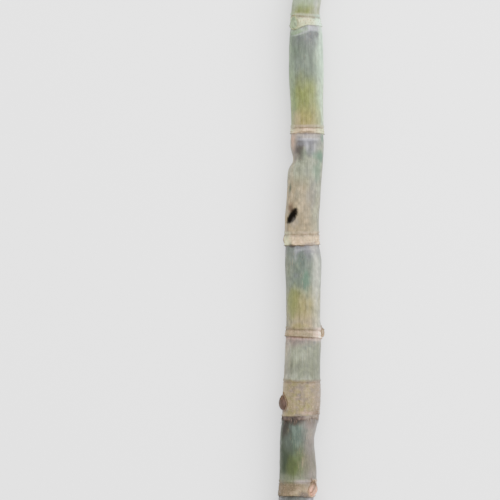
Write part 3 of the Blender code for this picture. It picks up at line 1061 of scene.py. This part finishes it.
def make_bud_hairs(number, node, material):
    """Short pale hairs along the wing of a bud."""
    length, start, core, radius = bud_frame(node)
    points, faces = [], []
    for k in range(HAIRS):
        draw = rng.random(4)
        turn = math.pi * (0.42 + 1.16 * (k + draw[0]) / HAIRS)
        share = (1 - math.cos(turn)) / 2
        half = float(bud_outline(share)) * node.bud_width / 2
        edge = np.array([math.copysign(half, math.sin(turn)), share * length - core])
        out = (edge / np.linalg.norm(edge) + 0.5 * (draw[1:3] - 0.5)) * (0.7 + 0.9 * draw[3])
        first = len(points)
        for step, thick in HAIR_RINGS:
            spot = HAIR_ROOT * edge + out * step
            for turn_round in HAIR_TURNS:
                across = spot[0] + HAIR_RADIUS * thick * math.cos(turn_round)
                up = 0.5 + 0.9 * step * draw[1] + HAIR_RADIUS * thick * math.sin(turn_round)
                points.append((across, core + spot[1], up))
        tip = HAIR_ROOT * edge + out
        points.append((tip[0], core + tip[1], 0.5 + 0.7 * draw[1]))
        faces += quads(first, first + 3, 3)
        faces += [(first + 3 + j, first + 3 + (j + 1) % 3, first + 6) for j in range(3)]
        faces.append((first + 2, first + 1, first))
    across, along, up = np.array(points).T
    cloud = skin(start + along, node.bud_angle + np.degrees(across / radius), up)
    tone = mix(BUFF, CREAM, np.tile((0, 0, 0, 0.6, 0.6, 0.6, 1), HAIRS))
    new_object(f"bud_hairs_{number + 1}", cloud, faces, tone, [material])


def wire(tree, kind, inputs=None, **settings):
    """A shader node with its settings, its fixed inputs and its links."""
    made = tree.nodes.new(kind)
    for key, value in settings.items():
        setattr(made, key, value)
    for key, value in (inputs or {}).items():
        if isinstance(value, bpy.types.NodeSocket):
            tree.links.new(value, made.inputs[key])
        else:
            made.inputs[key].default_value = value
    return made


def remap(tree, value, low, high, to_low=0.0, to_high=1.0):
    """The value stretched so that low gives to_low and high gives to_high, and held between."""
    inputs = {"Value": value, "From Min": low, "From Max": high}
    inputs |= {"To Min": to_low, "To Max": to_high}
    return wire(tree, "ShaderNodeMapRange", inputs, clamp=True).outputs["Result"]


def scaled(tree, where, size, stretch):
    """Positions in steps of a size in millimetres, longer along the stalk by the stretch."""
    scale = (1 / (size * MM), 1 / (size * stretch * MM), 1 / (size * MM))
    return wire(tree, "ShaderNodeMapping", {"Vector": where, "Scale": scale}).outputs["Vector"]


def noise_texture(tree, where, size, stretch=1.0, detail=3.0):
    """Noise with lumps of a size in millimetres, longer along the stalk by the stretch."""
    inputs = {"Vector": scaled(tree, where, size, stretch), "Scale": 1.0}
    inputs |= {"Detail": detail, "Roughness": 0.6}
    return wire(tree, "ShaderNodeTexNoise", inputs).outputs["Fac"]


def mix_colour(tree, share, a, b, blend="MIX"):
    """One colour laid over another in a shader."""
    inputs = {"Fac": share, "Color1": a, "Color2": b}
    return wire(tree, "ShaderNodeMixRGB", inputs, blend_type=blend).outputs["Color"]


def colour(rgb):
    """A display colour as the linear value that a shader's socket takes."""
    return (*linear(rgb).tolist(), 1.0)


def start_material(name, **values):
    """A material's tree, its shader, its position socket and its painted attribute."""
    material = bpy.data.materials.new(name)
    material.use_nodes = True
    tree = material.node_tree
    shader = tree.nodes["Principled BSDF"]
    for key, value in values.items():
        shader.inputs[key.replace("_", " ")].default_value = value
    where = wire(tree, "ShaderNodeTexCoord").outputs["Object"]
    paint = wire(tree, "ShaderNodeAttribute", attribute_name="rind").outputs
    return material, tree, shader, where, paint


def connect(tree, shader, base, roughness, bumps):
    """Links colour and roughness, and a chain of (height, strength, distance in mm) bumps."""
    tree.links.new(base, shader.inputs["Base Color"])
    tree.links.new(roughness, shader.inputs["Roughness"])
    normal = None
    for height, strength, distance in bumps:
        inputs = {"Height": height, "Strength": strength, "Distance": distance * MM}
        if normal is not None:
            inputs["Normal"] = normal
        normal = wire(tree, "ShaderNodeBump", inputs).outputs["Normal"]
    tree.links.new(normal, shader.inputs["Normal"])


def times(tree, a, b):
    """The product of two values in a shader."""
    return wire(tree, "ShaderNodeMath", {0: a, 1: b}, operation="MULTIPLY").outputs[0]


def overlay(tree, share, base, value, dark, light):
    """A noise value laid over a colour, as a grey between dark and light."""
    return mix_colour(tree, share, base, remap(tree, value, 0.3, 0.7, dark, light), "OVERLAY")


def dots(tree, where, size, stretch, inner, outer):
    """Round dots at random places, about one to each square of a size in millimetres."""
    inputs = {"Vector": scaled(tree, where, size, stretch), "Scale": 1.0}
    cells = wire(tree, "ShaderNodeTexVoronoi", inputs)
    return remap(tree, cells.outputs["Distance"], outer, inner)


def rind_material():
    """Waxy rind: painted colours with fibre streaks, fine scratches, cracks and dark specks."""
    material, tree, shader, where, paint = start_material(
        "rind", Sheen_Weight=0.02, Sheen_Roughness=0.5
    )
    level = wire(tree, "ShaderNodeRGBToBW", {"Color": paint["Color"]}).outputs["Val"]
    shine = remap(tree, level, 0.004, 0.03, 0.0, 0.12)
    tree.links.new(shine, shader.inputs["Specular IOR Level"])
    fibre = noise_texture(tree, where, 0.34, 70, 2)
    streak = noise_texture(tree, where, 1.3, 24, 3)
    grain = noise_texture(tree, where, 0.42, 1.3, 4)
    bloom = remap(tree, noise_texture(tree, where, 4, 2.2, 5), 0.40, 0.66)
    worn = remap(tree, noise_texture(tree, where, 11, 2.5, 3), 0.46, 0.62)
    base = overlay(tree, 0.75, paint["Color"], fibre, 0.36, 0.64)
    base = overlay(tree, 0.5, base, streak, 0.38, 0.62)
    base = overlay(tree, 0.7, base, grain, 0.34, 0.66)
    base = overlay(tree, 0.5, base, bloom, 0.46, 0.56)
    scratch = times(tree, remap(tree, noise_texture(tree, where, 0.26, 110, 1), 0.66, 0.72), worn)
    crack = times(tree, remap(tree, noise_texture(tree, where, 0.42, 50, 2), 0.30, 0.25), worn)
    crowd = remap(tree, noise_texture(tree, where, 9, 1.6, 2), 0.48, 0.64)
    speck = times(tree, dots(tree, where, 1.2, 1.5, 0.07, 0.19), crowd)
    vein = times(tree, dots(tree, where, 0.8, 1.0, 0.18, 0.34), paint["Alpha"])
    stains = ((scratch, 0.35, CREAM), (crack, 0.6, UMBER), (speck, 0.6, SOOT), (vein, 0.6, UMBER))
    for stain, strength, tint in stains:
        base = mix_colour(tree, times(tree, stain, strength), base, colour(tint))
    bumps = ((fibre, 0.6, 0.10), (grain, 0.5, 0.09), (crack, -0.6, 0.15), (vein, 0.5, 0.12))
    connect(tree, shader, base, remap(tree, bloom, 0.0, 1.0, 0.42, 0.72), bumps)
    return material


def scale_material(name, fibre_size, roughness_range, depth):
    """Dry or fleshy scale: painted colours with fibres that run along the stalk."""
    material, tree, shader, where, paint = start_material(name, Specular_IOR_Level=0.15)
    fibre = noise_texture(tree, where, fibre_size, 16, 3)
    grain = noise_texture(tree, where, 0.35, 1.5, 3)
    base = overlay(tree, 0.8, paint["Color"], fibre, 0.3, 0.7)
    base = overlay(tree, 0.5, base, grain, 0.35, 0.65)
    roughness = remap(tree, grain, 0.0, 1.0, *roughness_range)
    connect(tree, shader, base, roughness, ((fibre, 0.7, depth), (grain, 0.3, 0.05)))
    return material


def flesh_material():
    """Cut cane: pale juicy flesh with the ends of its veins, finer and closer near the rind."""
    material, tree, shader, where, paint = start_material("flesh", Specular_IOR_Level=0.3)
    middle = remap(tree, paint["Alpha"], 0.9, 0.6)
    edge = remap(tree, paint["Alpha"], 0.6, 0.85)
    inner = times(tree, dots(tree, where, 0.95, 40, 0.15, 0.32), middle)
    outer = times(tree, dots(tree, where, 0.55, 60, 0.17, 0.36), edge)
    base = mix_colour(tree, times(tree, inner, 0.6), paint["Color"], colour(VEIN))
    base = mix_colour(tree, times(tree, outer, 0.55), base, colour(VEIN))
    grain = noise_texture(tree, where, 0.4, 1, 3)
    cells = noise_texture(tree, where, 1.4, 1, 4)
    base = overlay(tree, 0.6, base, grain, 0.4, 0.62)
    base = overlay(tree, 0.5, base, cells, 0.42, 0.6)
    bumps = ((inner, 0.5, 0.12), (outer, 0.5, 0.1), (grain, 0.5, 0.12))
    connect(tree, shader, base, remap(tree, cells, 0.0, 1.0, 0.3, 0.6), bumps)
    return material


def make_floor():
    """A plain pale floor."""
    bpy.ops.mesh.primitive_plane_add(size=8.0, location=(0, 0, 0))
    floor = bpy.context.object
    floor.name = "floor"
    material = bpy.data.materials.new("floor")
    material.use_nodes = True
    shader = material.node_tree.nodes["Principled BSDF"]
    shader.inputs["Base Color"].default_value = (0.9, 0.9, 0.9, 1)
    shader.inputs["Roughness"].default_value = 0.9
    floor.data.materials.append(material)


def add_light(name, where, size, watts, tint=(1, 1, 1)):
    """A large soft lamp that points at the middle of the stalk."""
    data = bpy.data.lights.new(name, "AREA")
    data.size = size
    data.energy = watts
    data.color = tint
    lamp = bpy.data.objects.new(name, data)
    lamp.location = where
    lamp.rotation_euler = (-Vector(where)).to_track_quat("-Z", "Y").to_euler()
    lamp.visible_camera = False
    bpy.context.scene.collection.objects.link(lamp)


def light_scene():
    """Soft studio light from all round, a little stronger from the right."""
    add_light("light_right", (1.5, 0.4, 1.3), 1.6, 70.0)
    add_light("light_left", (-1.5, -0.3, 1.4), 1.6, 24.0)
    add_light("light_top", (0.1, 0.9, 2.0), 1.8, 60.0)
    world = bpy.data.worlds.new("world")
    bpy.context.scene.world = world
    world.use_nodes = True
    background = world.node_tree.nodes["Background"]
    background.inputs["Color"].default_value = (1, 1, 1, 1)
    background.inputs["Strength"].default_value = 1.3


# The photograph's frame: it is 500 pixels square, one pixel is one millimetre, and the middle of
# the stalk's box lies at this column. The camera looks straight down on the middle of the frame.
FRAME_PX = 500
STALK_COLUMN = 301.7
SILHOUETTE_HEIGHT = 0.018
CAMERA_DISTANCE = 3.0
SENSOR = 36.0


def add_camera():
    """Looks straight down through a long lens, so that the stalk crosses the whole frame."""
    data = bpy.data.cameras.new("camera")
    data.sensor_width = SENSOR
    data.lens = SENSOR * CAMERA_DISTANCE / (FRAME_PX * MM)
    camera = bpy.data.objects.new("camera", data)
    camera.location = (
        (FRAME_PX / 2 - STALK_COLUMN) * MM, 0.0, CAMERA_DISTANCE + SILHOUETTE_HEIGHT
    )
    bpy.context.scene.collection.objects.link(camera)
    bpy.context.scene.camera = camera


def main():
    rind = rind_material()
    bud_scale = scale_material("bud_scale", 0.5, (0.4, 0.65), 0.14)
    root_skin = scale_material("root_skin", 0.4, (0.45, 0.7), 0.05)
    dry_sheath = scale_material("dry_sheath", 0.3, (0.75, 0.95), 0.2)
    make_rind(rind, flesh_material())
    for number, node in enumerate(NODES):
        make_bud(number, node, bud_scale)
        make_bud_hairs(number, node, bud_scale)
        make_root_buds(number, node, root_skin)
        remains = LONG_REMAINS if number == TALL_NODE else SHORT_REMAINS
        make_remains(number, node, dry_sheath, *remains)
    add_camera()
    light_scene()
    make_floor()


main()
